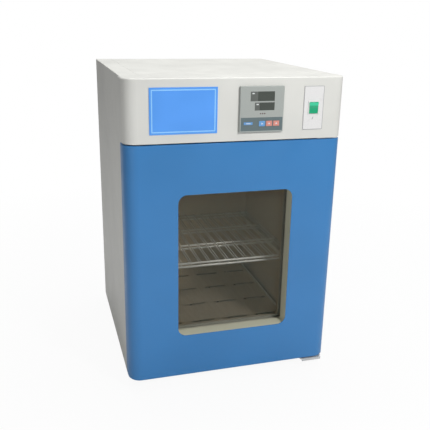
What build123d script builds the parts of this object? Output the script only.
from build123d import *

import os
from math import cos, radians, sin

# Bench-top laboratory incubator: a folded sheet-steel cabinet round an insulated stainless
# chamber, a pressed door with a window, and a control header above it. Millimetres, +Z up.
# The origin is on the floor, under the middle of the whole object; the front faces -Y.

# Cabinet
cabinet_width = 480.0
cabinet_height = 696.0
body_depth = 527.0  # face of the door to the face of the back panel
sheet = 1.2
flange_width = 15.0
top_fold_width = 40.0  # how far each side panel folds over the top
lip_height = 12.0
fold_radius = 1.8
seam = 0.4

# Feet
foot_height = 15.0
foot_radius = 17.0
foot_inset_side = 50.0
foot_inset_front = 110.0
foot_inset_back = 60.0
foot_pocket_radius = 7.0
foot_pocket_depth = 9.0
foot_taper = 6.0  # degrees

# Header above the door, and the door
header_height = 131.5
door_gap = 3.0
door_floor_gap = 14.5
door_depth = 50.0
gasket_space = 12.0  # back of the door skin to the front of the cabinet
front_overhang = 3.0
front_radius = 28.0
edge_bevel = 1.8
door_return_width = 22.0
panel_margin = 8.0  # door's edge to the edge of its inner panel
door_screw_columns = 3
door_screw_rows = 4
plateau_height = 4.8
plateau_margin = 40.0

# Window in the door
window_stile = 112.5  # door's side to the window
window_sill = 103.0  # door's lower edge to the window
window_head = 109.3  # window to the door's upper edge
window_radius = 20.0
reveal_radius = 6.0
reveal_wall = 1.5
recess_depth = 30.0
pane_thickness = 4.0
pane_space = 8.0
pane_overlap = 12.0
spacer_width = 8.0

# Door gasket
gasket_inset = 25.0
gasket_base_width = 16.0
gasket_base_height = 3.0
gasket_bulb_width = 10.0
soft_gap = 0.3  # between a soft or turning piece and what it lies on

# Hinges on the right, seen from the front
hinge_inset = 18.0  # cabinet's side to the hinge axis
hinge_setback = 24.0  # face of the door to the hinge axis
pin_radius = 4.0
pin_reach = 14.0
bush_wall = 2.0
bush_flange = 2.5
bracket_width = 54.0
bracket_edge = 5.0  # cabinet's side to the bracket's edge
bracket_front = 3.0  # face of the door to the bracket's front edge
bracket_corner = 9.0
lower_bracket_thickness = 4.0
upper_bracket_thickness = 2.0
lower_bracket_gap = 3.5  # lower bracket to the door
hinge_screw_pitch = 20.0
hinge_screw_clear = 12.0  # hinge axis to the nearest screw
bracket_flange_thickness = 3.0
bracket_flange_height = 22.0

# Chamber
chamber_wall = 65.0  # cabinet's side to the chamber
chamber_floor = 90.0  # cabinet's lower edge to the false floor
heater_space = 30.0  # below the false floor
liner_sheet = 1.0
liner_corner = 4.0
liner_flange = 12.0
insulation_back = 55.0
insulation_top = 60.0
passage_clearance = 1.0
service_space = 34.6  # insulation to the back panel
tray_drop = 3.5  # electrical tray below the header

# False floor
floor_side_gap = 6.0
floor_slot_length = 60.0
floor_slot_width = 8.0
floor_slot_rows = 4
floor_slot_columns = 4
floor_fold_radius = 0.9

# Heater
heater_radius = 4.0
heater_height = 12.0  # liner's floor to the tube's axis
heater_pitch = 76.0  # between neighbouring legs
heater_bend = 30.0
heater_front_gap = 40.0
heater_back_gap = 60.0
heater_tail = 22.0
clip_thickness = 1.0
clip_width = 12.0
clip_foot = 10.0
gland_radius = 9.0

# Temperature probe
probe_radius = 2.5
probe_reach = 90.0
probe_tail = 30.0
probe_side = 100.0
probe_drop = 22.0

# Shelf rails and shelves
rail_top = 157.0  # false floor to the top of the rails
rail_height = 18.0
rail_width = 12.0
rail_sheet = 1.0
rail_front_gap = 12.0
rail_stop_height = 8.0
shelf_side_gap = 3.0  # liner's wall to the outermost wire's axis
shelf_front_gap = 19.4
shelf_back_gap = 2.6
shelf_lift = 0.3  # room between wires that lie on one another
cross_wire_radius = 2.5
cross_wire_count = 4
depth_wire_radius = 1.5
depth_wire_count = 16
wire_tip = 1.5  # depth wires past the axis of the last cross wire, beyond its radius
cross_wire_tip = 1.5

# Fittings in the header, centred on one line
fittings_height = 66.2  # header's lower edge to that line
name_plate_margin = 49.8  # cabinet's side to the plate
name_plate_gap = 46.9  # plate to the controller
name_plate_height = 95.0
name_plate_thickness = 1.2

# Temperature controller
controller_pitch = 119.3  # middle of the controller to the middle of the switch
controller_width = 97.5
controller_height = 96.5
controller_proud = 6.0
controller_radius = 2.0
case_size = 91.0
case_depth = 74.0
cutout_clearance = 0.5
pv_window_width = 53.5
pv_window_height = 20.0
pv_window_offset = (0.6, 27.1)
sv_window_width = 43.9
sv_window_height = 16.5
sv_window_offset = (5.7, 6.1)
display_depth = 2.0
display_sunk = 0.6
lamp_radius = 1.2
lamp_pitch = 4.7
lamp_offset = (1.6, -8.8)
lamp_depth = 2.5
keypad_width = 93.0
keypad_height = 28.5
keypad_thickness = 1.0
keypad_offset = (0.3, -30.8)

# Keys
key_width = 13.4
key_height = 10.8
key_pitch = 15.95
key_offset = (0.9, -29.8)  # the first of the three square keys
set_key_width = 19.4
set_key_height = 5.4
set_key_offset = (-29.8, -29.0)
key_proud = 0.9
key_lip = 0.8
key_travel = 0.6
key_clearance = 0.2

# Mains switch
switch_margin = 72.9  # cabinet's side to the middle of the switch
switch_plate_width = 46.4
switch_plate_height = 93.8
switch_plate_thickness = 1.2
switch_plate_radius = 1.5
rocker_width = 20.6
rocker_radius = 12.3
rocker_tilt = 7.0
rocker_dish = 1.3
rocker_proud = 2.2
rocker_keel = 9.2  # rocker's pivot to its back
rocker_pivot_depth = 2.5
rocker_pin_radius = 1.5
rocker_clearance = 0.3
frame_wall = 2.4
frame_rim = 1.4
frame_skirt = 1.2
frame_depth = 20.0
tab_width = 6.3
tab_thickness = 0.8
tab_length = 8.0
running_fit = 0.05

# Electrical parts behind the header
tray_lip = 10.0
sink_width = 80.0
sink_depth = 100.0
sink_base = 5.0
sink_fin_count = 7
sink_fin_height = 22.0
sink_fin_thickness = 2.5
sink_offset = (-120.0, 40.0)
relay_width = 45.0
relay_depth = 58.0
relay_height = 24.0
relay_corner = 2.0
relay_clearance = 1.0
relay_hole_pitch_x = 22.5
relay_hole_pitch_y = 43.5
block_width = 96.0
block_depth = 24.0
block_height = 22.0
block_ways = 8
block_offset = (90.0, 60.0)
barrier_thickness = 2.0

# Back panel and what is on it
back_margin = 2.0
back_screw_rows = 4
vent_slot_length = 60.0
vent_slot_width = 5.0
vent_slot_pitch = 12.0
vent_slot_count = 6
vent_offset = 70.0
inlet_margin = 75.0  # cabinet's side to the middle of the inlet
inlet_flange_width = 50.0
inlet_flange_height = 25.0
inlet_flange_thickness = 2.0
inlet_body_width = 27.0
inlet_body_height = 19.6
inlet_body_depth = 21.0
inlet_wall = 1.5
inlet_pocket_depth = 16.0
inlet_blade_width = 4.0
inlet_blade_thickness = 2.0
inlet_blade_pitch = 7.0
inlet_blade_length = 9.0
inlet_hole_pitch = 40.0
fuse_pitch = 55.0  # middle of the inlet to the middle of the fuse holder
fuse_radius = 6.3
fuse_cap_radius = 8.0
fuse_cap_height = 4.0
fuse_cap_chamfer = 0.8
fuse_depth = 30.0

# Fasteners
screw_radius = 2.0
screw_head_radius = 3.6
screw_head_height = 1.8
screw_clearance = 0.2

# Places worked out from the sizes above
half_width = cabinet_width / 2
front_y = -body_depth / 2
back_y = body_depth / 2
base_z = foot_height
top_z = base_z + cabinet_height
cabinet_front_y = front_y + door_depth + gasket_space
panel_front_y = cabinet_front_y + sheet
panel_back_y = back_y - sheet
header_z = top_z - header_height
door_top_z = header_z - door_gap
door_bottom_z = base_z + door_floor_gap
door_height = door_top_z - door_bottom_z
door_back_y = front_y + door_depth
front_half_width = half_width + front_overhang
tray_z = header_z - tray_drop
chamber_width = cabinet_width - 2 * chamber_wall
floor_z = base_z + chamber_floor
liner_z = floor_z - heater_space
ceiling_z = tray_z - insulation_top - liner_sheet
chamber_height = ceiling_z - floor_z
liner_height = ceiling_z - liner_z
insulation_back_y = panel_back_y - service_space
liner_back_y = insulation_back_y - insulation_back - liner_sheet
chamber_depth = liner_back_y - panel_front_y
window_width = 2 * (front_half_width - window_stile)
window_height = door_height - window_sill - window_head
window_z = door_bottom_z + window_sill + window_height / 2
fittings_z = header_z + fittings_height
switch_offset = half_width - switch_margin
controller_offset = switch_offset - controller_pitch
pane_y = front_y + recess_depth
spacer_y = pane_y + pane_thickness
inner_pane_y = spacer_y + pane_space
seal_y = inner_pane_y + pane_thickness
pane_width = window_width + 2 * pane_overlap
pane_height = window_height + 2 * pane_overlap
hinge_x = half_width - hinge_inset
hinge_y = front_y + hinge_setback


def level(z):
    """A flat sketch plane at height z, facing up."""
    return Plane.XY.offset(z)


def upright(y):
    """An upright sketch plane at depth y, facing the front: sketch x is X and sketch y is Z."""
    return Plane.XZ.offset(-y)


def write(piece, name):
    """Label a finished piece and write its file."""
    piece.part.label = name
    export_step(piece.part, f"parts/{name}.step")


def front_outline(inset, back):
    """The outline seen from above of what stands proud at the front: two rounded corners."""
    depth = back - front_y - inset
    with Locations((0, front_y + inset + depth / 2)):
        outline = Rectangle(2 * (front_half_width - inset), depth)
    fillet(outline.vertices().group_by(Axis.Y)[0], front_radius - inset)


def ring(width, height, wall, radius, z):
    """A rounded frame on an upright sketch plane, wall wide outside its opening."""
    with Locations((0, z)):
        RectangleRounded(width + 2 * wall, height + 2 * wall, radius + wall)
        RectangleRounded(width, height, radius, mode=Mode.SUBTRACT)


def square_ring(width, height, wall, z):
    """A frame with mitred corners on an upright sketch plane, wall wide outside its opening."""
    with Locations((0, z)):
        Rectangle(width + 2 * wall, height + 2 * wall)
        Rectangle(width, height, mode=Mode.SUBTRACT)


def bar(radius, sides=6, mode=Mode.ADD):
    """The section of a thin round bar or hole: a polygon whose flats lie at the radius."""
    RegularPolygon(radius, sides, major_radius=False, rotation=180 / sides, mode=mode)


def screws(*groups):
    """Hexagon-head screws along Y, each group as its seat's y, its facing, its places and its length.

    The facing is 1 where the heads look back and -1 where they look to the front.
    """
    with BuildPart() as fasteners:
        for seat_y, facing, places, length in groups:
            with BuildSketch(upright(seat_y)):
                with Locations(*places):
                    bar(screw_head_radius, 6)
            extrude(amount=-facing * screw_head_height)
            with BuildSketch(upright(seat_y)):
                with Locations(*places):
                    bar(screw_radius)
            extrude(amount=facing * length)
    return fasteners


# Side panels: a wall with a flange at each end, folded over the top as a strip with a lip
panel_depth = panel_back_y - panel_front_y
panel_mid_y = (panel_front_y + panel_back_y) / 2
with BuildPart() as left_side_panel:
    with BuildSketch(level(base_z)):
        with Locations((-half_width + flange_width / 2, panel_mid_y)):
            Rectangle(flange_width, panel_depth)
        with Locations((-half_width + (flange_width + sheet) / 2, panel_mid_y)):
            Rectangle(flange_width - sheet, panel_depth - 2 * sheet, mode=Mode.SUBTRACT)
    extrude(amount=cabinet_height - sheet)
    with BuildSketch(level(top_z - sheet)):
        with Locations((-half_width + top_fold_width / 2, panel_mid_y)):
            Rectangle(top_fold_width, panel_depth)
    extrude(amount=sheet)
    with BuildSketch(level(top_z - sheet)):
        with Locations((-half_width + top_fold_width - sheet / 2, panel_mid_y)):
            Rectangle(sheet, panel_depth - 4 * sheet)
    extrude(amount=-lip_height)
    outer_edges = left_side_panel.edges().filter_by(Plane.YZ).group_by(Axis.X)[0]
    fillet(outer_edges.filter_by(Axis.Z) + outer_edges.filter_by(Axis.Y).sort_by(Axis.Z)[-1:], fold_radius)
write(left_side_panel, "left_side_panel")

with BuildPart() as right_side_panel:
    mirror(left_side_panel.part, about=Plane.YZ)
write(right_side_panel, "right_side_panel")

# Top cover: a shallow pan, open below, between the two strips
cover_width = cabinet_width - 2 * (top_fold_width + seam)
with BuildPart() as top_cover:
    with BuildSketch(level(top_z)):
        with Locations((0, panel_mid_y)):
            Rectangle(cover_width, panel_depth)
    extrude(amount=-lip_height)
    with BuildSketch(level(top_z - sheet)):
        with Locations((0, panel_mid_y)):
            Rectangle(cover_width - 2 * sheet, panel_depth - 2 * sheet)
    extrude(amount=-lip_height, mode=Mode.SUBTRACT)
write(top_cover, "top_cover")

# The feet's places, seen from above
foot_xs = (-half_width + foot_inset_side, half_width - foot_inset_side)
foot_ys = (front_y + foot_inset_front, back_y - foot_inset_back)
foot_places = [(x, y) for x in foot_xs for y in foot_ys]

# Base pan: a floor with a lip at the front and back, notched for the side panels' flanges
with BuildPart() as base_pan:
    with BuildSketch(level(base_z)):
        with Locations((0, panel_mid_y)):
            Rectangle(cabinet_width - 2 * sheet, panel_depth)
    extrude(amount=lip_height)
    with BuildSketch(level(base_z + sheet)):
        with Locations((0, panel_mid_y)):
            Rectangle(cabinet_width, panel_depth - 2 * sheet)
    extrude(amount=lip_height, mode=Mode.SUBTRACT)
    with BuildSketch(level(base_z)):
        for x in (-half_width, half_width):
            for y in (panel_front_y, panel_back_y):
                with Locations((x, y)):
                    Rectangle(2 * (flange_width + seam), 2 * sheet)
    extrude(amount=lip_height, mode=Mode.SUBTRACT)
    with BuildSketch(level(base_z)):
        with Locations(*foot_places):
            bar(screw_radius + screw_clearance)
    extrude(amount=sheet, mode=Mode.SUBTRACT)
write(base_pan, "base_pan")

# Feet: tapered rubber buffers with a pocket for the screw's head
with BuildPart() as feet:
    with BuildSketch(level(base_z)):
        with Locations(*foot_places):
            bar(foot_radius, 18)
    extrude(amount=-foot_height, taper=foot_taper)
    with BuildSketch(level(0)):
        with Locations(*foot_places):
            bar(foot_pocket_radius, 12)
    extrude(amount=foot_pocket_depth, mode=Mode.SUBTRACT)
    with BuildSketch(level(foot_pocket_depth)):
        with Locations(*foot_places):
            bar(screw_radius + screw_clearance)
    extrude(amount=foot_height, mode=Mode.SUBTRACT)
write(feet, "feet")

# Foot screws: heads in the pockets, shanks up through the pan
with BuildPart() as foot_screws:
    with BuildSketch(level(foot_pocket_depth)):
        with Locations(*foot_places):
            bar(screw_head_radius, 6)
    extrude(amount=-screw_head_height)
    with BuildSketch(level(foot_pocket_depth)):
        with Locations(*foot_places):
            bar(screw_radius)
    extrude(amount=foot_height - foot_pocket_depth + sheet)
write(foot_screws, "foot_screws")

# Front collar: the steel face that the gasket closes on, open at the chamber and behind the header
panel_opening_width = cabinet_width - 2 * (flange_width + front_radius)
panel_opening_height = header_height - 2 * flange_width
with BuildPart() as front_collar:
    with BuildSketch(upright(panel_front_y)):
        with Locations((0, base_z + (cabinet_height - seam) / 2)):
            Rectangle(cabinet_width, cabinet_height - seam)
        with Locations((0, floor_z + chamber_height / 2)):
            RectangleRounded(chamber_width, chamber_height, liner_corner, mode=Mode.SUBTRACT)
        with Locations((0, header_z + header_height / 2)):
            Rectangle(panel_opening_width, panel_opening_height, mode=Mode.SUBTRACT)
    extrude(amount=sheet)
write(front_collar, "front_collar")

# Places where something passes through the liner's back wall
leg_count = 4
leg_xs = [heater_pitch * (i - (leg_count - 1) / 2) for i in range(leg_count)]
leg_z = liner_z + heater_height
lead_places = [(leg_xs[0], leg_z), (leg_xs[-1], leg_z)]
lead_hole_radius = heater_radius + clip_thickness + running_fit
probe_place = (probe_side, ceiling_z - probe_drop)
probe_hole_radius = probe_radius + clip_thickness + running_fit

# Chamber liner: a folded stainless box, open at the front, with a flange round its mouth
with BuildPart() as chamber_liner:
    with BuildSketch(upright(liner_back_y + liner_sheet)):
        with Locations((0, liner_z + liner_height / 2)):
            RectangleRounded(
                chamber_width + 2 * liner_sheet, liner_height + 2 * liner_sheet, liner_corner + liner_sheet
            )
    extrude(amount=chamber_depth + liner_sheet)
    with BuildSketch(upright(panel_front_y + liner_sheet)):
        ring(chamber_width, liner_height, liner_flange, liner_corner, liner_z + liner_height / 2)
    extrude(amount=liner_sheet)
    with BuildSketch(upright(liner_back_y)):
        with Locations((0, liner_z + liner_height / 2)):
            RectangleRounded(chamber_width, liner_height, liner_corner)
    extrude(amount=chamber_depth, mode=Mode.SUBTRACT)
    with BuildSketch(upright(liner_back_y + liner_sheet)):
        with Locations(*lead_places):
            bar(lead_hole_radius, 12)
        with Locations(probe_place):
            bar(probe_hole_radius, 12)
    extrude(amount=liner_sheet, mode=Mode.SUBTRACT)
write(chamber_liner, "chamber_liner")

# Insulation: one block round the liner, with passages for the heater's leads and the probe
insulation_front_y = panel_front_y + sheet
insulation_depth = insulation_back_y - insulation_front_y
insulation_height = tray_z - base_z - sheet
passage_radius = gland_radius + passage_clearance
with BuildPart() as chamber_insulation:
    with BuildSketch(upright(insulation_back_y)):
        with Locations((0, base_z + sheet + insulation_height / 2)):
            Rectangle(cabinet_width - 2 * sheet, insulation_height)
    extrude(amount=insulation_depth)
    with BuildSketch(upright(liner_back_y + liner_sheet)):
        with Locations((0, liner_z + liner_height / 2)):
            RectangleRounded(
                chamber_width + 2 * liner_sheet, liner_height + 2 * liner_sheet, liner_corner + liner_sheet
            )
    extrude(amount=liner_back_y + liner_sheet - insulation_front_y, mode=Mode.SUBTRACT)
    with BuildSketch(upright(insulation_back_y)):
        with Locations(*lead_places, probe_place):
            bar(passage_radius, 12)
    extrude(amount=insulation_back, mode=Mode.SUBTRACT)
write(chamber_insulation, "chamber_insulation")

# False floor: a slotted plate over the heater, standing on its own folded sides
floor_width = chamber_width - 2 * floor_side_gap
floor_depth = chamber_depth - 2 * sheet
floor_mid_y = panel_front_y + chamber_depth / 2
with BuildPart() as floor_plate:
    with BuildSketch(upright(floor_mid_y + floor_depth / 2)):
        with Locations((0, liner_z + heater_space / 2)):
            Rectangle(floor_width, heater_space)
        with Locations((0, liner_z + (heater_space - liner_sheet) / 2)):
            Rectangle(floor_width - 2 * liner_sheet, heater_space - liner_sheet, mode=Mode.SUBTRACT)
    extrude(amount=floor_depth)
    fillet(floor_plate.faces().sort_by(Axis.Z)[-1].edges().filter_by(Axis.Y), floor_fold_radius)
    with BuildSketch(level(floor_z)):
        with Locations((0, floor_mid_y)):
            with GridLocations(
                floor_width / floor_slot_columns, floor_depth / floor_slot_rows,
                floor_slot_columns, floor_slot_rows,
            ):
                Rectangle(floor_slot_length, floor_slot_width)
    extrude(amount=-liner_sheet, mode=Mode.SUBTRACT)
write(floor_plate, "floor_plate")

# Heater: one bent tube lying under the false floor, its two ends out through the back wall
heater_near_y = panel_front_y + heater_front_gap
heater_far_y = liner_back_y - heater_back_gap
heater_end_y = liner_back_y + liner_sheet + heater_tail
heater_route = [
    (leg_xs[0], heater_end_y, leg_z),
    (leg_xs[0], heater_near_y, leg_z),
    (leg_xs[1], heater_near_y, leg_z),
    (leg_xs[1], heater_far_y, leg_z),
    (leg_xs[2], heater_far_y, leg_z),
    (leg_xs[2], heater_near_y, leg_z),
    (leg_xs[3], heater_near_y, leg_z),
    (leg_xs[3], heater_end_y, leg_z),
]
with BuildPart() as heater_element:
    with BuildLine():
        heater_path = FilletPolyline(*heater_route, radius=heater_bend)
    with BuildSketch(upright(heater_end_y)):
        with Locations(lead_places[0]):
            RegularPolygon(heater_radius, 6)
    sweep(path=heater_path)
write(heater_element, "heater_element")

# Clips: straps over the tube, standing on the liner's floor
clip_y = (heater_near_y + heater_far_y) / 2
clip_inner = heater_radius + running_fit
clip_outer = clip_inner + clip_thickness
with BuildPart() as heater_clips:
    with BuildSketch(upright(clip_y + clip_width / 2)):
        with Locations(*[(x, leg_z) for x in leg_xs]):
            bar(clip_outer, 12)
        with Locations(*[(x, liner_z + heater_height / 2) for x in leg_xs]):
            Rectangle(2 * clip_outer, heater_height)
        with Locations(*[(x, liner_z + clip_thickness / 2) for x in leg_xs]):
            Rectangle(2 * (clip_outer + clip_foot), clip_thickness)
        with Locations(*[(x, leg_z) for x in leg_xs]):
            bar(clip_inner, 12, mode=Mode.SUBTRACT)
        with Locations(*[(x, liner_z + heater_height / 2) for x in leg_xs]):
            Rectangle(2 * clip_inner, heater_height, mode=Mode.SUBTRACT)
    extrude(amount=clip_width)
write(heater_clips, "heater_clips")

# Glands: a washer inside and a nut outside the liner's back wall, on each lead of the heater
with BuildPart() as heater_glands:
    with BuildSketch(upright(liner_back_y)):
        with Locations(*lead_places):
            bar(gland_radius, 12)
    extrude(amount=2 * clip_thickness)
    with BuildSketch(upright(liner_back_y + liner_sheet + 3 * clip_thickness)):
        with Locations(*lead_places):
            RegularPolygon(gland_radius - clip_thickness, 6)
    extrude(amount=3 * clip_thickness)
    with BuildSketch(upright(liner_back_y + liner_sheet)):
        with Locations(*lead_places):
            bar(lead_hole_radius - running_fit, 12)
    extrude(amount=liner_sheet)
    with BuildSketch(upright(heater_end_y)):
        with Locations(*lead_places):
            bar(heater_radius + running_fit / 2, 12)
    extrude(amount=2 * heater_tail, mode=Mode.SUBTRACT)
write(heater_glands, "heater_glands")

# Temperature probe near the ceiling, and the bush that holds it in the back wall
probe_tip_y = liner_back_y - probe_reach
probe_end_y = liner_back_y + liner_sheet + probe_tail
with BuildPart() as temperature_probe:
    with BuildSketch(upright(probe_end_y)):
        with Locations(probe_place):
            bar(probe_radius, 12)
    extrude(amount=probe_end_y - probe_tip_y)
    chamfer(temperature_probe.faces().sort_by(Axis.Y)[0].edges(), probe_radius / 2)
write(temperature_probe, "temperature_probe")

with BuildPart() as probe_bush:
    with BuildSketch(upright(liner_back_y)):
        with Locations(probe_place):
            bar(gland_radius, 12)
    extrude(amount=2 * clip_thickness)
    chamfer(probe_bush.faces().sort_by(Axis.Y)[0].edges(), clip_thickness)
    with BuildSketch(upright(liner_back_y + liner_sheet)):
        with Locations(probe_place):
            bar(probe_hole_radius - running_fit, 12)
    extrude(amount=liner_sheet)
    with BuildSketch(upright(probe_end_y)):
        with Locations(probe_place):
            bar(probe_radius + running_fit / 2, 12)
    extrude(amount=2 * probe_tail, mode=Mode.SUBTRACT)
write(probe_bush, "probe_bush")

# Shelf rails: folded angles on the liner's side walls, each with a stop at its back end
rail_z = floor_z + rail_top
rail_front_y = panel_front_y + rail_front_gap
rail_length = liner_back_y - rail_front_y
rail_mid_x = (rail_width - chamber_width) / 2
with BuildPart() as left_shelf_rail:
    with BuildSketch(upright(liner_back_y)):
        with Locations((rail_mid_x, rail_z - rail_height / 2)):
            Rectangle(rail_width, rail_height)
        with Locations((rail_mid_x + rail_sheet / 2, rail_z - (rail_height + rail_sheet) / 2)):
            Rectangle(rail_width - rail_sheet, rail_height - rail_sheet, mode=Mode.SUBTRACT)
    extrude(amount=rail_length)
    with BuildSketch(upright(liner_back_y)):
        with Locations((rail_mid_x, rail_z + rail_stop_height / 2)):
            Rectangle(rail_width, rail_stop_height)
    extrude(amount=rail_sheet)
    fillet(
        left_shelf_rail.edges().filter_by(Axis.Y).group_by(Axis.Z)[-1].sort_by(Axis.X)[-1:], rail_sheet / 2
    )
write(left_shelf_rail, "left_shelf_rail")

with BuildPart() as right_shelf_rail:
    mirror(left_shelf_rail.part, about=Plane.YZ)
write(right_shelf_rail, "right_shelf_rail")

# Shelves: two alike, cross wires below and depth wires welded on them, one lying on the other
shelf_depth = chamber_depth - shelf_front_gap - shelf_back_gap
shelf_back_y = liner_back_y - shelf_back_gap
shelf_mid_y = shelf_back_y - shelf_depth / 2
shelf_width = chamber_width - 2 * shelf_side_gap
cross_pitch = (shelf_depth - 2 * (cross_wire_radius + wire_tip)) / (cross_wire_count - 1)
depth_pitch = shelf_width / (depth_wire_count - 1)
shelf_height = 2 * (cross_wire_radius + depth_wire_radius)
lower_shelf_z = rail_z + shelf_lift
upper_shelf_z = lower_shelf_z + shelf_height + shelf_lift
for shelf_name, shelf_z in (("lower_shelf", lower_shelf_z), ("upper_shelf", upper_shelf_z)):
    with BuildPart() as shelf:
        with BuildSketch(Plane.YZ.offset(-shelf_width / 2 - cross_wire_tip)):
            with Locations((shelf_mid_y, shelf_z + cross_wire_radius)):
                with GridLocations(cross_pitch, 1, cross_wire_count, 1):
                    bar(cross_wire_radius, 8)
        extrude(amount=shelf_width + 2 * cross_wire_tip)
        with BuildSketch(upright(shelf_back_y)):
            with Locations((0, shelf_z + shelf_height - depth_wire_radius)):
                with GridLocations(depth_pitch, 1, depth_wire_count, 1):
                    bar(depth_wire_radius, 8)
        extrude(amount=shelf_depth)
    write(shelf, shelf_name)

# Header: a pressed shell with two rounded corners, open at the back inside a narrow return
with BuildPart() as header_housing:
    with BuildSketch(level(header_z)):
        front_outline(0, cabinet_front_y)
    extrude(amount=header_height)
    top_edges = header_housing.faces().sort_by(Axis.Z)[-1].edges()
    chamfer(top_edges.sort_by(Axis.Y)[:-1], edge_bevel)
    with BuildSketch(level(header_z + sheet)):
        front_outline(sheet, cabinet_front_y - sheet)
    extrude(amount=header_height - 2 * sheet, mode=Mode.SUBTRACT)
    with BuildSketch(upright(cabinet_front_y)):
        with Locations((0, header_z + header_height / 2)):
            Rectangle(panel_opening_width, panel_opening_height)
    extrude(amount=sheet, mode=Mode.SUBTRACT)
    with BuildSketch(upright(front_y + sheet)):
        with Locations((controller_offset, fittings_z)):
            Rectangle(case_size + 2 * cutout_clearance, case_size + 2 * cutout_clearance)
        with Locations((switch_offset, fittings_z)):
            Rectangle(
                rocker_width + 2 * (rocker_clearance + frame_skirt + cutout_clearance),
                2 * (rocker_radius + rocker_clearance + frame_skirt + cutout_clearance),
            )
    extrude(amount=sheet, mode=Mode.SUBTRACT)
write(header_housing, "header_housing")

# Plate on the left of the header, bare
name_plate_left = name_plate_margin - half_width
name_plate_right = controller_offset - controller_width / 2 - name_plate_gap
name_plate_width = name_plate_right - name_plate_left
with BuildPart() as name_plate:
    with BuildSketch(upright(front_y)):
        with Locations(((name_plate_left + name_plate_right) / 2, fittings_z)):
            Rectangle(name_plate_width, name_plate_height)
    extrude(amount=name_plate_thickness)
write(name_plate, "name_plate")

# Temperature controller: what sits in its bezel, each as (width, height, (x, z))
def on_controller(offset):
    """A place on the controller's face, as sketch coordinates."""
    return (controller_offset + offset[0], fittings_z + offset[1])


displays = {
    "pv_window": (pv_window_width, pv_window_height, on_controller(pv_window_offset)),
    "sv_window": (sv_window_width, sv_window_height, on_controller(sv_window_offset)),
}
keys = {"set_key": (set_key_width, set_key_height, on_controller(set_key_offset))}
for i, key_name in enumerate(("shift_key", "down_key", "up_key")):
    place = on_controller((key_offset[0] + i * key_pitch, key_offset[1]))
    keys[key_name] = (key_width, key_height, place)
lamp_places = [on_controller((lamp_offset[0] + i * lamp_pitch, lamp_offset[1])) for i in (-1, 0, 1)]
keypad_place = on_controller(keypad_offset)
face_y = front_y - controller_proud
keypad_y = face_y + keypad_thickness
key_lip_y = keypad_y + key_clearance / 2
well_y = key_lip_y + key_lip + key_travel + key_clearance

with BuildPart() as controller_bezel:
    with BuildSketch(upright(front_y)):
        with Locations((controller_offset, fittings_z)):
            RectangleRounded(controller_width, controller_height, controller_radius)
    extrude(amount=controller_proud)
    chamfer(controller_bezel.faces().sort_by(Axis.Y)[0].edges(), controller_radius / 2)
    with BuildSketch(upright(face_y + display_sunk + display_depth)):
        for width, height, place in displays.values():
            with Locations(place):
                Rectangle(width, height)
    extrude(amount=display_sunk + display_depth, mode=Mode.SUBTRACT)
    with BuildSketch(upright(keypad_y)):
        with Locations(keypad_place):
            Rectangle(keypad_width, keypad_height)
    extrude(amount=keypad_thickness, mode=Mode.SUBTRACT)
    with BuildSketch(upright(well_y)):
        for width, height, place in keys.values():
            with Locations(place):
                Rectangle(width + 2 * (key_lip / 2 + key_clearance), height + 2 * (key_lip + key_clearance))
    extrude(amount=well_y - keypad_y, mode=Mode.SUBTRACT)
    with BuildSketch(upright(face_y + lamp_depth)):
        with Locations(*lamp_places):
            bar(lamp_radius + running_fit)
    extrude(amount=lamp_depth, mode=Mode.SUBTRACT)
write(controller_bezel, "controller_bezel")

with BuildPart() as controller_case:
    with BuildSketch(upright(front_y + case_depth)):
        with Locations((controller_offset, fittings_z)):
            RectangleRounded(case_size, case_size, controller_radius)
    extrude(amount=case_depth)
write(controller_case, "controller_case")

# Display windows: lenses sunk a little into the bezel
for window_name, (width, height, place) in displays.items():
    with BuildPart() as display:
        with BuildSketch(upright(face_y + display_sunk + display_depth)):
            with Locations(place):
                Rectangle(width, height)
        extrude(amount=display_depth)
    write(display, window_name)

# Key strip: a thin plate with a hole for each key
with BuildPart() as keypad_panel:
    with BuildSketch(upright(keypad_y)):
        with Locations(keypad_place):
            Rectangle(keypad_width, keypad_height)
        for width, height, place in keys.values():
            with Locations(place):
                Rectangle(width + 2 * key_clearance, height + 2 * key_clearance, mode=Mode.SUBTRACT)
    extrude(amount=keypad_thickness)
write(keypad_panel, "keypad_panel")

# Keys: a cap through the strip and a lip behind it that keeps it in
for key_name, (width, height, place) in keys.items():
    with BuildPart() as key:
        with BuildSketch(upright(key_lip_y)):
            with Locations(place):
                Rectangle(width, height)
        extrude(amount=key_lip_y - face_y + key_proud)
        chamfer(key.faces().sort_by(Axis.Y)[0].edges(), key_proud / 2)
        with BuildSketch(upright(key_lip_y + key_lip)):
            with Locations(place):
                Rectangle(width + key_lip, height + 2 * key_lip)
        extrude(amount=key_lip)
    write(key, key_name)

# Indicator lamps: three small lenses
with BuildPart() as indicator_lamps:
    with BuildSketch(upright(face_y + lamp_depth)):
        with Locations(*lamp_places):
            bar(lamp_radius)
    extrude(amount=lamp_depth + lamp_radius / 2)
    chamfer(indicator_lamps.faces().group_by(Axis.Y)[0].edges(), lamp_radius / 3)
write(indicator_lamps, "indicator_lamps")

# Switch plate, the frame of the rocker switch, and the rocker
well_width = rocker_width + 2 * rocker_clearance
well_height = 2 * (rocker_radius + rocker_clearance)
skirt_width = well_width + 2 * frame_skirt
skirt_height = well_height + 2 * frame_skirt
switch_face_y = front_y - switch_plate_thickness
pivot_y = switch_face_y + rocker_pivot_depth
with BuildPart() as switch_plate:
    with BuildSketch(upright(front_y)):
        with Locations((switch_offset, fittings_z)):
            RectangleRounded(switch_plate_width, switch_plate_height, switch_plate_radius)
            Rectangle(
                skirt_width + 2 * cutout_clearance, skirt_height + 2 * cutout_clearance, mode=Mode.SUBTRACT
            )
    extrude(amount=switch_plate_thickness)
write(switch_plate, "switch_plate")

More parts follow.
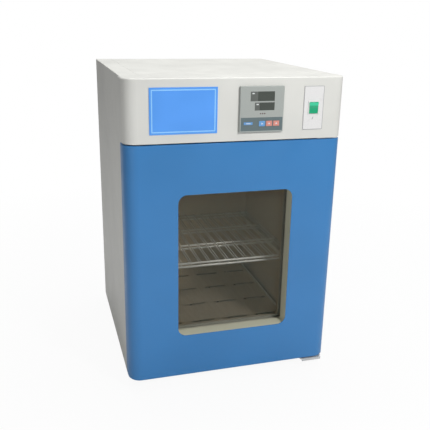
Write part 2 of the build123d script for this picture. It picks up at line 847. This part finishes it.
rocker_well_y = pivot_y + rocker_radius + rocker_clearance
with BuildPart() as switch_frame:
    with BuildSketch(upright(switch_face_y)):
        with Locations((switch_offset, fittings_z)):
            Rectangle(well_width + 2 * frame_wall, well_height + 2 * frame_wall)
    extrude(amount=frame_rim)
    chamfer(switch_frame.faces().sort_by(Axis.Y)[0].edges(), frame_rim / 2)
    with BuildSketch(upright(switch_face_y + frame_depth)):
        with Locations((switch_offset, fittings_z)):
            Rectangle(skirt_width, skirt_height)
    extrude(amount=frame_depth)
    with BuildSketch(upright(rocker_well_y)):
        with Locations((switch_offset, fittings_z)):
            Rectangle(well_width, well_height)
    extrude(amount=rocker_well_y - switch_face_y + frame_rim, mode=Mode.SUBTRACT)
    with Locations(Plane((switch_offset, pivot_y, fittings_z), z_dir=(1, 0, 0))):
        Cylinder(rocker_pin_radius + running_fit, skirt_width, mode=Mode.SUBTRACT)
    with BuildSketch(upright(switch_face_y + frame_depth + tab_length)):
        with Locations((switch_offset, fittings_z)):
            with GridLocations(skirt_width / 2, skirt_height / 2, 2, 2):
                Rectangle(tab_thickness, tab_width)
    extrude(amount=tab_length)
write(switch_frame, "switch_frame")

# The rocker is tipped: its lower half is in and its upper half is out
tilt = radians(rocker_tilt)
rocker_side = Plane(
    (switch_offset, pivot_y, fittings_z), x_dir=(0, cos(tilt), sin(tilt)), z_dir=(1, 0, 0)
)
rocker_face = -(rocker_pivot_depth + rocker_proud)
with BuildPart() as switch_rocker:
    with BuildSketch(rocker_side.offset(-rocker_width / 2)):
        Circle(rocker_radius)
        with BuildLine():
            Polyline(
                (rocker_face, -rocker_radius),
                (rocker_face + rocker_dish, 0),
                (rocker_face, rocker_radius),
                (rocker_pivot_depth, rocker_radius),
                (rocker_keel, 0),
                (rocker_pivot_depth, -rocker_radius),
                close=True,
            )
        make_face(mode=Mode.INTERSECT)
    extrude(amount=rocker_width)
    with Locations(Plane((switch_offset, pivot_y, fittings_z), z_dir=(1, 0, 0))):
        Cylinder(rocker_pin_radius, skirt_width - 2 * running_fit)
write(switch_rocker, "switch_rocker")

# Electrical tray on the insulation, behind the header
tray_depth = panel_back_y - sheet - insulation_front_y
tray_mid_y = insulation_front_y + tray_depth / 2
tray_top_z = tray_z + sheet
with BuildPart() as electrical_tray:
    with BuildSketch(level(tray_z)):
        with Locations((0, tray_mid_y)):
            Rectangle(cabinet_width - 2 * sheet, tray_depth)
    extrude(amount=sheet + tray_lip)
    with BuildSketch(level(tray_top_z)):
        with Locations((0, tray_mid_y)):
            Rectangle(cabinet_width, tray_depth - 2 * sheet)
    extrude(amount=tray_lip, mode=Mode.SUBTRACT)
write(electrical_tray, "electrical_tray")

# Heat sink: a finned extrusion with its fins up at both sides of the relay
sink_x, sink_y = sink_offset
fin_pitch = (sink_width - sink_fin_thickness) / (sink_fin_count - 1)
with BuildPart() as heat_sink:
    with BuildSketch(upright(sink_y + sink_depth / 2)):
        with Locations((sink_x, tray_top_z + sink_base / 2)):
            Rectangle(sink_width, sink_base)
        with Locations((sink_x, tray_top_z + sink_base + sink_fin_height / 2)):
            with GridLocations(fin_pitch, 1, sink_fin_count, 1):
                Rectangle(sink_fin_thickness, sink_fin_height)
    extrude(amount=sink_depth)
    with BuildSketch(level(tray_top_z + sink_base)):
        with Locations((sink_x, sink_y)):
            Rectangle(sink_width, relay_depth + 2 * relay_clearance)
    extrude(amount=sink_fin_height, mode=Mode.SUBTRACT)
write(heat_sink, "heat_sink")

with BuildPart() as power_relay:
    with BuildSketch(level(tray_top_z + sink_base)):
        with Locations((sink_x, sink_y)):
            RectangleRounded(relay_width, relay_depth, relay_corner)
    extrude(amount=relay_height)
    with BuildSketch(level(tray_top_z + sink_base + relay_height)):
        with Locations((sink_x, sink_y)):
            with GridLocations(relay_hole_pitch_x, relay_hole_pitch_y, 2, 2):
                bar(screw_head_radius)
    extrude(amount=-screw_head_height, mode=Mode.SUBTRACT)
write(power_relay, "power_relay")

# Terminal block: a stepped bar with a wall between each two ways
block_x, block_y = block_offset
way_pitch = (block_width - barrier_thickness) / block_ways
with BuildPart() as terminal_block:
    with BuildSketch(level(tray_top_z)):
        with Locations((block_x, block_y)):
            Rectangle(block_width, block_depth)
    extrude(amount=block_height / 2)
    with BuildSketch(level(tray_top_z + block_height / 2)):
        with Locations((block_x, block_y)):
            Rectangle(block_width, barrier_thickness)
            with GridLocations(way_pitch, 1, block_ways + 1, 1):
                Rectangle(barrier_thickness, block_depth)
    extrude(amount=block_height / 2)
write(terminal_block, "terminal_block")

# Back panel, screwed on the side panels' flanges, with slots behind the electrical space
back_width = cabinet_width - 2 * back_margin
back_height = cabinet_height - 2 * back_margin
back_mid_z = base_z + cabinet_height / 2
vent_z = (tray_top_z + top_z) / 2
back_screw_x = half_width - flange_width / 2
back_screw_pitch = (back_height - 4 * flange_width) / (back_screw_rows - 1)
back_screw_zs = [
    back_mid_z + back_screw_pitch * (i - (back_screw_rows - 1) / 2) for i in range(back_screw_rows)
]
inlet_offset = half_width - inlet_margin
fuse_offset = inlet_offset - fuse_pitch
back_screw_places = [(x, z) for x in (-back_screw_x, back_screw_x) for z in back_screw_zs]
inlet_screw_places = [(inlet_offset + side * inlet_hole_pitch / 2, vent_z) for side in (-1, 1)]
with BuildPart() as rear_panel:
    with BuildSketch(upright(back_y)):
        with Locations((0, back_mid_z)):
            Rectangle(back_width, back_height)
        with Locations((-vent_offset, vent_z)):
            with GridLocations(vent_slot_length + 2 * vent_slot_width, vent_slot_pitch, 2, vent_slot_count):
                Rectangle(vent_slot_length, vent_slot_width, mode=Mode.SUBTRACT)
        with Locations((inlet_offset, vent_z)):
            Rectangle(
                inlet_body_width + 2 * cutout_clearance, inlet_body_height + 2 * cutout_clearance,
                mode=Mode.SUBTRACT,
            )
        with Locations((fuse_offset, vent_z)):
            bar(fuse_radius + cutout_clearance, 12, mode=Mode.SUBTRACT)
        with Locations(*back_screw_places, *inlet_screw_places):
            bar(screw_radius + screw_clearance, mode=Mode.SUBTRACT)
    extrude(amount=sheet)
write(rear_panel, "rear_panel")

rear_screws = screws(
    (back_y, 1, back_screw_places, sheet),
    (back_y + inlet_flange_thickness, 1, inlet_screw_places, inlet_flange_thickness + sheet),
)
write(rear_screws, "rear_screws")

# Mains inlet: a flanged socket with three blades in its pocket
with BuildPart() as mains_inlet:
    with BuildSketch(upright(back_y + inlet_flange_thickness)):
        with Locations((inlet_offset, vent_z)):
            RectangleRounded(inlet_flange_width, inlet_flange_height, 2 * fold_radius)
        with Locations(*inlet_screw_places):
            bar(screw_radius + screw_clearance, mode=Mode.SUBTRACT)
    extrude(amount=inlet_flange_thickness)
    with BuildSketch(upright(back_y)):
        with Locations((inlet_offset, vent_z)):
            Rectangle(inlet_body_width, inlet_body_height)
    extrude(amount=inlet_body_depth)
    with BuildSketch(upright(back_y + inlet_flange_thickness)):
        with Locations((inlet_offset, vent_z)):
            outline = Rectangle(inlet_body_width - 2 * inlet_wall, inlet_body_height - 2 * inlet_wall)
        chamfer(outline.vertices().group_by(Axis.Y)[-1], inlet_body_height / 4)
    extrude(amount=inlet_pocket_depth, mode=Mode.SUBTRACT)
    with BuildSketch(upright(back_y + inlet_flange_thickness - inlet_pocket_depth)):
        with Locations((inlet_offset, vent_z)):
            with Locations(
                (-inlet_blade_pitch, -inlet_blade_width / 2),
                (0, inlet_blade_width / 2),
                (inlet_blade_pitch, -inlet_blade_width / 2),
            ):
                Rectangle(inlet_blade_thickness, inlet_blade_width)
    extrude(amount=-inlet_blade_length)
write(mains_inlet, "mains_inlet")

# Fuse holder beside the inlet: a round cap with a coin slot, and its body behind the panel
with BuildPart() as fuse_holder:
    with BuildSketch(upright(back_y + fuse_cap_height)):
        with Locations((fuse_offset, vent_z)):
            bar(fuse_cap_radius, 16)
    extrude(amount=fuse_cap_height)
    chamfer(fuse_holder.faces().sort_by(Axis.Y)[-1].edges(), fuse_cap_chamfer)
    with BuildSketch(upright(back_y + fuse_cap_height)):
        with Locations((fuse_offset, vent_z)):
            Rectangle(fuse_cap_radius, barrier_thickness)
    extrude(amount=barrier_thickness, mode=Mode.SUBTRACT)
    with BuildSketch(upright(back_y)):
        with Locations((fuse_offset, vent_z)):
            bar(fuse_radius, 12)
    extrude(amount=fuse_depth)
write(fuse_holder, "fuse_holder")

# Door skin: a pressed shell with two rounded corners, a return round its open back, a window
# opening, and a hole for a hinge bush in its top and in its bottom
bush_radius = pin_radius + running_fit + bush_wall
with BuildPart() as door_skin:
    with BuildSketch(level(door_bottom_z)):
        front_outline(0, door_back_y)
    extrude(amount=door_height)
    rim = door_skin.faces().sort_by(Axis.Z)
    rim_edges = rim[0].edges().sort_by(Axis.Y)[:-1] + rim[-1].edges().sort_by(Axis.Y)[:-1]
    chamfer(rim_edges, edge_bevel)
    with BuildSketch(level(door_bottom_z + sheet)):
        front_outline(sheet, door_back_y - sheet)
    extrude(amount=door_height - 2 * sheet, mode=Mode.SUBTRACT)
    with BuildSketch(upright(door_back_y)):
        with Locations((0, door_bottom_z + door_height / 2)):
            Rectangle(2 * (front_half_width - door_return_width), door_height - 2 * door_return_width)
    extrude(amount=sheet, mode=Mode.SUBTRACT)
    with BuildSketch(upright(front_y + sheet)):
        with Locations((0, window_z)):
            RectangleRounded(window_width, window_height, window_radius)
    extrude(amount=sheet, mode=Mode.SUBTRACT)
    with BuildSketch(level(door_bottom_z)):
        with Locations((hinge_x, hinge_y)):
            bar(bush_radius, 16)
    extrude(amount=door_height, mode=Mode.SUBTRACT)
write(door_skin, "door_skin")

# Window frame: the pale reveal behind the skin, flanged behind the skin and before the pane
with BuildPart() as window_frame:
    with BuildSketch(upright(pane_y)):
        with Locations((0, window_z)):
            Rectangle(pane_width, pane_height)
    extrude(amount=reveal_wall)
    with BuildSketch(upright(front_y + 2 * sheet)):
        with Locations((0, window_z)):
            Rectangle(pane_width, pane_height)
    extrude(amount=sheet)
    with BuildSketch(upright(pane_y)):
        with Locations((0, window_z)):
            RectangleRounded(
                window_width + 2 * reveal_wall, window_height + 2 * reveal_wall, reveal_radius + reveal_wall
            )
    extrude(amount=recess_depth - sheet)
    with BuildSketch(upright(pane_y)):
        with Locations((0, window_z)):
            RectangleRounded(window_width, window_height, reveal_radius)
    extrude(amount=recess_depth, mode=Mode.SUBTRACT)
write(window_frame, "window_frame")

# Two panes with a spacer between them, and the seal that the inner panel presses on
for pane_name, y in (("outer_glass", pane_y), ("inner_glass", inner_pane_y)):
    with BuildPart() as pane:
        with BuildSketch(upright(y + pane_thickness)):
            with Locations((0, window_z)):
                Rectangle(pane_width, pane_height)
        extrude(amount=pane_thickness)
    write(pane, pane_name)

with BuildPart() as glass_spacer:
    with BuildSketch(upright(inner_pane_y)):
        square_ring(pane_width - 2 * spacer_width, pane_height - 2 * spacer_width, spacer_width, window_z)
    extrude(amount=pane_space)
write(glass_spacer, "glass_spacer")

with BuildPart() as glass_seal:
    with BuildSketch(upright(door_back_y)):
        square_ring(window_width, window_height, pane_overlap, window_z)
    extrude(amount=door_back_y - seal_y)
write(glass_seal, "glass_seal")

# Inner panel: a pressed sheet on the skin's return, raised round the window towards the chamber
panel_face_y = door_back_y + sheet
panel_width = 2 * (front_half_width - panel_margin)
panel_height = door_height - 2 * panel_margin
plateau_y = panel_face_y + plateau_height
door_mid_z = door_bottom_z + door_height / 2
plateau_width = window_width + 2 * plateau_margin
plateau_tall = window_height + 2 * plateau_margin - flange_width
door_screw_width = 2 * (front_half_width - door_return_width / 2) - panel_margin
door_screw_height = door_height - door_return_width - panel_margin
door_screw_xs = [
    door_screw_width * (i / (door_screw_columns - 1) - 1 / 2) for i in range(door_screw_columns)
]
door_screw_zs = [
    door_mid_z + door_screw_height * (i / (door_screw_rows - 1) - 1 / 2) for i in range(door_screw_rows)
]
door_screw_places = [
    (x, z)
    for x in door_screw_xs
    for z in door_screw_zs
    if x in (door_screw_xs[0], door_screw_xs[-1]) or z in (door_screw_zs[0], door_screw_zs[-1])
]
with BuildPart() as door_inner_panel:
    with BuildSketch(upright(panel_face_y)):
        with Locations((0, door_mid_z)):
            outline = Rectangle(panel_width, panel_height)
        chamfer(outline.vertices(), panel_margin)
    extrude(amount=sheet)
    with BuildSketch(upright(plateau_y)):
        with Locations((0, window_z)):
            RectangleRounded(plateau_width, plateau_tall, window_radius)
    extrude(amount=plateau_height)
    with BuildSketch(upright(plateau_y - sheet)):
        with Locations((0, window_z)):
            RectangleRounded(plateau_width - 2 * sheet, plateau_tall - 2 * sheet, window_radius - sheet)
            RectangleRounded(
                window_width + 2 * sheet, window_height + 2 * sheet, reveal_radius + sheet,
                mode=Mode.SUBTRACT,
            )
    extrude(amount=plateau_y - sheet - door_back_y, mode=Mode.SUBTRACT)
    with BuildSketch(upright(plateau_y)):
        with Locations((0, window_z)):
            RectangleRounded(window_width, window_height, reveal_radius)
    extrude(amount=plateau_height + sheet, mode=Mode.SUBTRACT)
    with BuildSketch(upright(panel_face_y)):
        with Locations(*door_screw_places):
            bar(screw_radius + screw_clearance)
    extrude(amount=sheet, mode=Mode.SUBTRACT)
write(door_inner_panel, "door_inner_panel")

door_screws = screws((panel_face_y, 1, door_screw_places, sheet))
write(door_screws, "door_screws")

# Door gasket: a flat base on the inner panel and a bulb that meets the collar, mitred at the corners
gasket_width = 2 * (front_half_width - gasket_inset)
gasket_height = door_height - 2 * gasket_inset
bulb_back_y = cabinet_front_y - soft_gap
bulb_margin = (gasket_base_width - gasket_bulb_width) / 2
with BuildPart() as door_gasket:
    with BuildSketch(upright(panel_face_y + gasket_base_height)):
        square_ring(
            gasket_width - 2 * gasket_base_width, gasket_height - 2 * gasket_base_width,
            gasket_base_width, door_mid_z,
        )
    extrude(amount=gasket_base_height)
    with BuildSketch(upright(bulb_back_y)):
        square_ring(
            gasket_width - 2 * (bulb_margin + gasket_bulb_width),
            gasket_height - 2 * (bulb_margin + gasket_bulb_width),
            gasket_bulb_width, door_mid_z,
        )
    extrude(amount=bulb_back_y - panel_face_y - gasket_base_height)
    chamfer(door_gasket.faces().sort_by(Axis.Y)[-1].edges(), gasket_bulb_width / 3)
write(door_gasket, "door_gasket")

# Door insulation: fills the skin round the window, with a pocket for each hinge bush
pocket_height = pin_reach + 3 * sheet
with BuildPart() as door_insulation:
    with BuildSketch(level(door_bottom_z + sheet)):
        front_outline(sheet + soft_gap, door_back_y - sheet)
    extrude(amount=door_height - 2 * sheet)
    with BuildSketch(upright(door_back_y)):
        with Locations((0, window_z)):
            Rectangle(pane_width, pane_height)
    extrude(amount=door_depth, mode=Mode.SUBTRACT)
    for z in (door_bottom_z + sheet, door_top_z - sheet - pocket_height):
        with BuildSketch(level(z)):
            with Locations((hinge_x, hinge_y)):
                bar(bush_radius, 16)
        extrude(amount=pocket_height, mode=Mode.SUBTRACT)
write(door_insulation, "door_insulation")

# Hinge brackets: an angle at the top and at the bottom, screwed on the collar
lower_bracket_z = door_bottom_z - lower_bracket_gap
bracket_x = half_width - bracket_edge - bracket_width / 2
bracket_depth = cabinet_front_y - front_y - bracket_front
hinge_screw_xs = [hinge_x - hinge_screw_clear - i * hinge_screw_pitch for i in (0, 1)]
brackets = {
    "lower_hinge_bracket": (lower_bracket_z, lower_bracket_thickness, 1),
    "upper_hinge_bracket": (header_z - upper_bracket_thickness, upper_bracket_thickness, -1),
}
hinge_screw_places = []
for bracket_name, (z, thickness, up) in brackets.items():
    # The plate lies against the door's end, and its flange stands beside the door's back
    plate_z = z - thickness if up == 1 else z
    screw_places = [(x, z + up * bracket_flange_height / 2) for x in hinge_screw_xs]
    hinge_screw_places += screw_places
    with BuildPart() as bracket:
        with BuildSketch(level(plate_z)):
            with Locations((bracket_x, front_y + bracket_front + bracket_depth / 2)):
                outline = Rectangle(bracket_width, bracket_depth)
            fillet(outline.vertices().group_by(Axis.Y)[0], bracket_corner)
            with Locations((hinge_x, hinge_y)):
                Circle(pin_radius + running_fit, mode=Mode.SUBTRACT)
        extrude(amount=thickness)
        with BuildSketch(upright(cabinet_front_y)):
            with Locations((bracket_x, z + up * bracket_flange_height / 2)):
                Rectangle(bracket_width, bracket_flange_height)
            with Locations(*screw_places):
                bar(screw_radius + screw_clearance, mode=Mode.SUBTRACT)
        extrude(amount=bracket_flange_thickness)
    write(bracket, bracket_name)

flange_face_y = cabinet_front_y - bracket_flange_thickness
hinge_screws = screws((flange_face_y, -1, hinge_screw_places, bracket_flange_thickness))
write(hinge_screws, "hinge_screws")

# Hinge pins: the lower one has a head under its bracket, the upper one ends at the header
with BuildPart() as lower_hinge_pin:
    with BuildSketch(level(lower_bracket_z - lower_bracket_thickness)):
        with Locations((hinge_x, hinge_y)):
            bar(pin_radius + bush_wall)
    extrude(amount=-bush_wall)
    with BuildSketch(level(lower_bracket_z - lower_bracket_thickness)):
        with Locations((hinge_x, hinge_y)):
            Circle(pin_radius)
    extrude(amount=door_bottom_z + pin_reach - lower_bracket_z + lower_bracket_thickness)
    chamfer(lower_hinge_pin.faces().sort_by(Axis.Z)[-1].edges(), pin_radius / 4)
write(lower_hinge_pin, "lower_hinge_pin")

with BuildPart() as upper_hinge_pin:
    with BuildSketch(level(header_z)):
        with Locations((hinge_x, hinge_y)):
            Circle(pin_radius)
    extrude(amount=-(header_z - door_top_z + pin_reach))
    chamfer(upper_hinge_pin.faces().sort_by(Axis.Z)[0].edges(), pin_radius / 4)
write(upper_hinge_pin, "upper_hinge_pin")

# Hinge bushes in the door: a barrel, and a flange in the gap between door and bracket
bushes = {
    "lower_hinge_bush": (door_bottom_z, 1, lower_bracket_gap - soft_gap),
    "upper_hinge_bush": (door_top_z, -1, door_gap - upper_bracket_thickness - soft_gap),
}
for bush_name, (z, direction, gap) in bushes.items():
    with BuildPart() as bush:
        with BuildSketch(level(z)):
            with Locations((hinge_x, hinge_y)):
                bar(bush_radius, 16)
        extrude(amount=direction * (pin_reach + 2 * sheet))
        with BuildSketch(level(z)):
            with Locations((hinge_x, hinge_y)):
                bar(bush_radius + bush_flange, 16)
        extrude(amount=-direction * gap)
        with BuildSketch(level(z - direction * gap)):
            with Locations((hinge_x, hinge_y)):
                Circle(pin_radius + running_fit)
        extrude(amount=direction * (pin_reach + gap + 2 * sheet), mode=Mode.SUBTRACT)
    write(bush, bush_name)
